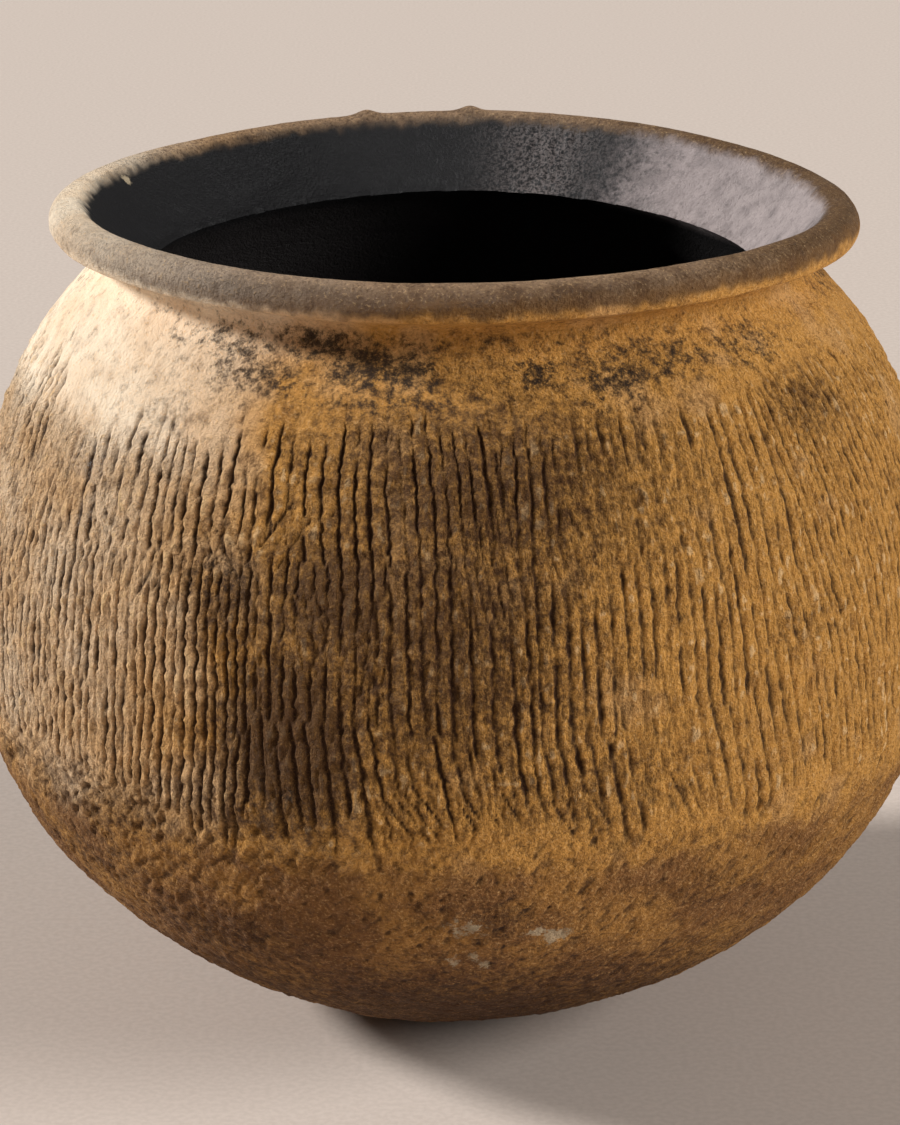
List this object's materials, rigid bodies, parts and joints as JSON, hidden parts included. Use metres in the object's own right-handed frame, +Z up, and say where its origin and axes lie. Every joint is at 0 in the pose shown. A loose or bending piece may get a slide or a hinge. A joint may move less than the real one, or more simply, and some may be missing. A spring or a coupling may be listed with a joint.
{
  "type": "clay storage jar",
  "caption": "round-based, coil-built clay storage jar with a cord-marked belly, a smoothed neck band and a thick out-turned rim round a wide open mouth",
  "frame": {"origin": "centre of the small worn flat that the jar rests on", "axes": "+Z up, along the jar's axis and out of its mouth; -Y is the side the picture shows, +X is to its right"},
  "size_m": [0.29, 0.2899, 0.2506],
  "materials": {
    "bowl_clay": "matt, scraped and pitted",
    "cord_marked_clay": "matt, beaten with a cord-wound paddle",
    "neck_clay": "matt, wiped smooth, sooty",
    "rim_clay": "rubbed smooth"
  },
  "bodies": {
    "root": {"base_pad": "bowl_clay", "lower_coil_1": "bowl_clay", "lower_coil_2": "bowl_clay", "belly_coil_1": "cord_marked_clay", "belly_coil_2": "cord_marked_clay", "belly_coil_3": "cord_marked_clay", "neck_coil": "neck_clay", "rim_coil": "rim_clay"}
  },
  "joints": []
}
